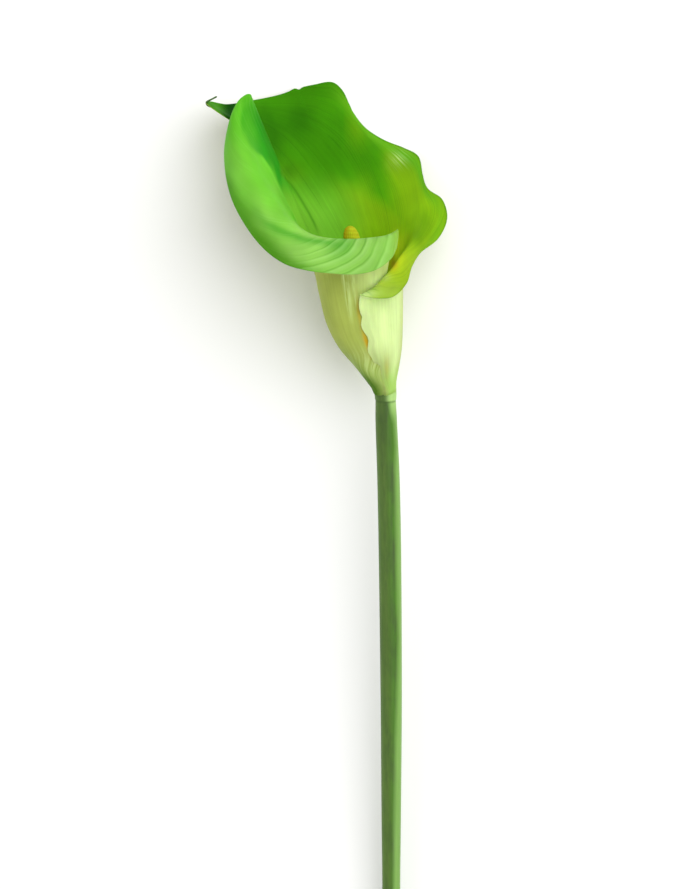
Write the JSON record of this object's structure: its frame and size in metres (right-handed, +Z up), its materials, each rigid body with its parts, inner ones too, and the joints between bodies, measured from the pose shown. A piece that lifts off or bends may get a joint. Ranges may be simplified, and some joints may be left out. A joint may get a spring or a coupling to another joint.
{
  "type": "calla lily flower",
  "caption": "Cut calla lily flower lying on its back: one rolled, flared green spathe round a yellow spadix, on a smooth bare stem.",
  "frame": {"origin": "on the surface the flower rests on, under the middle of its overall box", "axes": "+Y from the cut end of the stem towards the tip of the spathe, +Z up, out of the open side of the flower, +X to the right with the head pointing away from the viewer"},
  "size_m": [0.102, 0.4534, 0.0666],
  "materials": {
    "spathe": "smooth waxy petal, satin",
    "spadix": "matt, fine florets",
    "stem": "smooth green stalk, satin"
  },
  "bodies": {
    "root": {"spathe": "spathe", "spadix": "spadix", "stem": "stem"}
  },
  "joints": []
}
